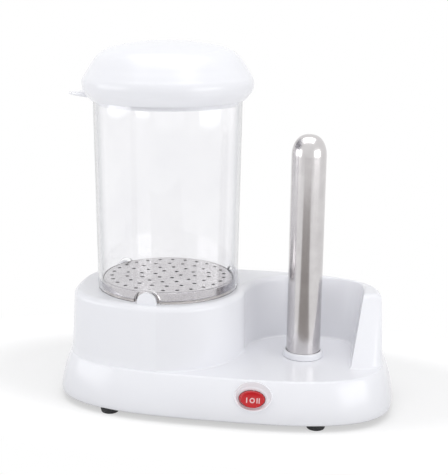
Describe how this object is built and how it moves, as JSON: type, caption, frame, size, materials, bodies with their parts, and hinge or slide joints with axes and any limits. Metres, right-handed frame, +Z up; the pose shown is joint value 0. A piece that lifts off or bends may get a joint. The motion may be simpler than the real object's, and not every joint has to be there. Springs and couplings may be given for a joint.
{
  "type": "hot dog maker",
  "caption": "Countertop hot dog cooker with a clear steam container and domed lid on a drum, a heated roll spike in an open tray, and a red rocker switch.",
  "frame": {"origin": "on the worktop, below the middle of the base", "axes": "+Z up, front with the switch faces -Y, steam container towards -X, roll spike towards +X"},
  "size_m": [0.2798, 0.1518, 0.297],
  "materials": {
    "white_plastic": "glossy moulded",
    "clear_plastic": "clear moulded",
    "polished_steel": "polished stainless sheet",
    "zinc_plate": "zinc plated",
    "aluminium": "cast",
    "heater_steel": "heat darkened tube",
    "heater_ceramic": "unglazed",
    "red_plastic": "glossy moulded",
    "black_plastic": "fine grain",
    "grey_rubber": "moulded",
    "seal_silicone": "moulded",
    "terminal_brass": "stamped",
    "block_nylon": "moulded",
    "brown_sleeve": "insulated lead",
    "blue_sleeve": "insulated lead",
    "green_sleeve": "insulated lead"
  },
  "bodies": {
    "base": {"housing": "white_plastic", "base_plate": "black_plastic", "foot_front_left": "grey_rubber", "foot_front_right": "grey_rubber", "foot_rear_left": "grey_rubber", "foot_rear_right": "grey_rubber", "cord_gland": "grey_rubber", "terminal_block": "block_nylon", "cord_clamp": "black_plastic", "cord_clamp_screw_1": "zinc_plate", "cord_clamp_screw_2": "zinc_plate", "heating_dish": "polished_steel", "dish_gasket": "seal_silicone", "heat_spreader": "aluminium", "ring_heater": "heater_steel", "bridge_bracket": "zinc_plate", "bracket_nut": "zinc_plate", "bracket_screw_1": "zinc_plate", "bracket_screw_2": "zinc_plate", "thermostat": "black_plastic", "thermal_fuse": "heater_ceramic", "spike": "polished_steel", "spike_collar": "white_plastic", "spike_clamp": "zinc_plate", "spike_screw_1": "zinc_plate", "spike_screw_2": "zinc_plate", "spike_heater": "heater_ceramic", "switch_bezel": "white_plastic", "switch_pin": "zinc_plate", "switch_body": "black_plastic", "switch_terminal_1": "terminal_brass", "switch_terminal_2": "terminal_brass", "switch_terminal_3": "terminal_brass", "live_lead": "brown_sleeve", "boiler_lead": "brown_sleeve", "spike_lead": "brown_sleeve", "fuse_lead": "brown_sleeve", "heater_lead": "brown_sleeve", "spike_return_lead": "blue_sleeve", "neutral_lead": "blue_sleeve", "earth_lead": "green_sleeve", "base_screw_1": "zinc_plate", "base_screw_2": "zinc_plate", "base_screw_3": "zinc_plate", "base_screw_4": "zinc_plate", "base_screw_5": "zinc_plate", "base_screw_6": "zinc_plate"},
    "container": {"container": "clear_plastic"},
    "lid": {"lid": "white_plastic"},
    "rack": {"sausage_rack": "polished_steel"},
    "rocker": {"switch_rocker": "red_plastic"}
  },
  "joints": [
    {"name": "container_lift", "type": "slide", "parent": "base", "child": "container", "axis": [0, 0, 1], "range_m": [0, 0.2]},
    {"name": "lid_lift", "type": "slide", "parent": "container", "child": "lid", "axis": [0, 0, 1], "range_m": [0, 0.1]},
    {"name": "rack_lift", "type": "slide", "parent": "base", "child": "rack", "axis": [0, 0, 1], "range_m": [0, 0.14]},
    {"name": "rocker_tip", "type": "hinge", "parent": "base", "child": "rocker", "pos_m": [0.0323, -0.06879, 0.02577], "axis": [0, 0.2766, 0.961], "range_deg": [-8, 8]}
  ]
}
